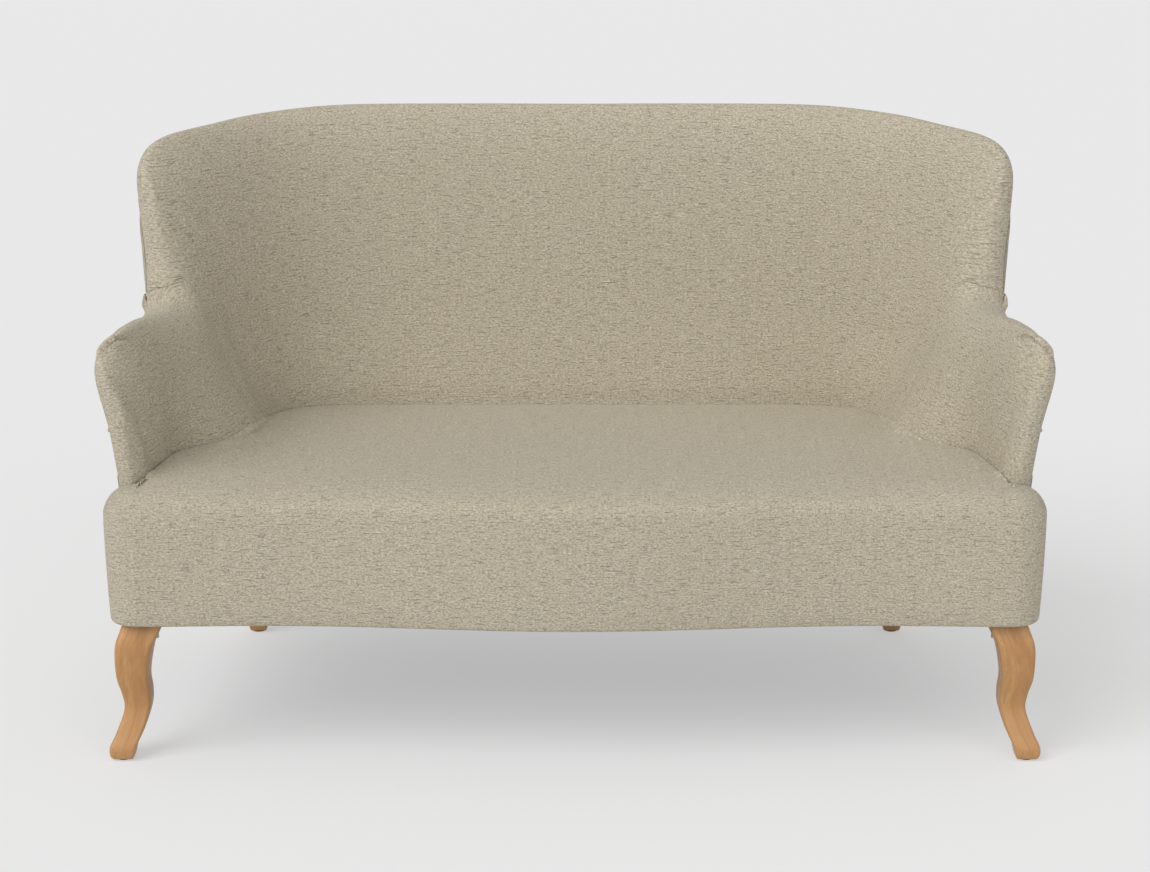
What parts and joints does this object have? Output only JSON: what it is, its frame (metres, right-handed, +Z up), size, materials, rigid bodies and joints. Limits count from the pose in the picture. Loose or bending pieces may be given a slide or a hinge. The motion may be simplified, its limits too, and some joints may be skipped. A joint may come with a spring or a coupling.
{
  "type": "high back settee",
  "caption": "Two-seat upholstered settee with a high curved back, wings, flared rolled arms and bent wooden legs.",
  "frame": {"origin": "on the floor, in the middle of the plan", "axes": "+X to the right seen from the front, +Y to the back, +Z up; the settee faces -Y"},
  "size_m": [1.4552, 0.7504, 0.9295],
  "materials": {
    "oatmeal_weave": "slubby plain weave",
    "black_lining": "spun lining",
    "foam": "cut foam",
    "hessian": "coarse jute",
    "oak": "clear satin oil",
    "beech": "planed",
    "steel": "bright",
    "black_plastic": "matte"
  },
  "bodies": {
    "root": {"seat_cover": "oatmeal_weave", "inside_back_cover": "oatmeal_weave", "left_inside_arm_cover": "oatmeal_weave", "right_inside_arm_cover": "oatmeal_weave", "left_outside_arm_cover": "oatmeal_weave", "right_outside_arm_cover": "oatmeal_weave", "outside_back_cover": "oatmeal_weave", "dust_cover": "black_lining", "seat_foam": "foam", "border_pad": "foam", "back_foam": "foam", "left_arm_foam": "foam", "right_arm_foam": "foam", "seat_hessian": "hessian", "seat_springs": "steel", "spring_clips": "steel", "spring_tie_wires": "steel", "back_webbing": "hessian", "back_hessian": "hessian", "front_rail": "beech", "rear_rail": "beech", "left_side_rail": "beech", "right_side_rail": "beech", "cross_rails": "beech", "corner_blocks": "beech", "left_arm_post": "beech", "right_arm_post": "beech", "left_back_post": "beech", "right_back_post": "beech", "left_wing_post": "beech", "right_wing_post": "beech", "left_arm_rail": "beech", "right_arm_rail": "beech", "left_wing_rail": "beech", "right_wing_rail": "beech", "top_rail": "beech", "lower_back_rail": "beech", "left_lower_arm_rail": "beech", "right_lower_arm_rail": "beech", "back_slats": "beech", "frame_dowels": "beech", "block_screws": "steel", "left_front_leg": "oak", "right_front_leg": "oak", "left_rear_leg": "oak", "right_rear_leg": "oak", "hanger_bolts": "steel", "leg_nuts": "steel", "leg_glides": "black_plastic"}
  },
  "joints": []
}
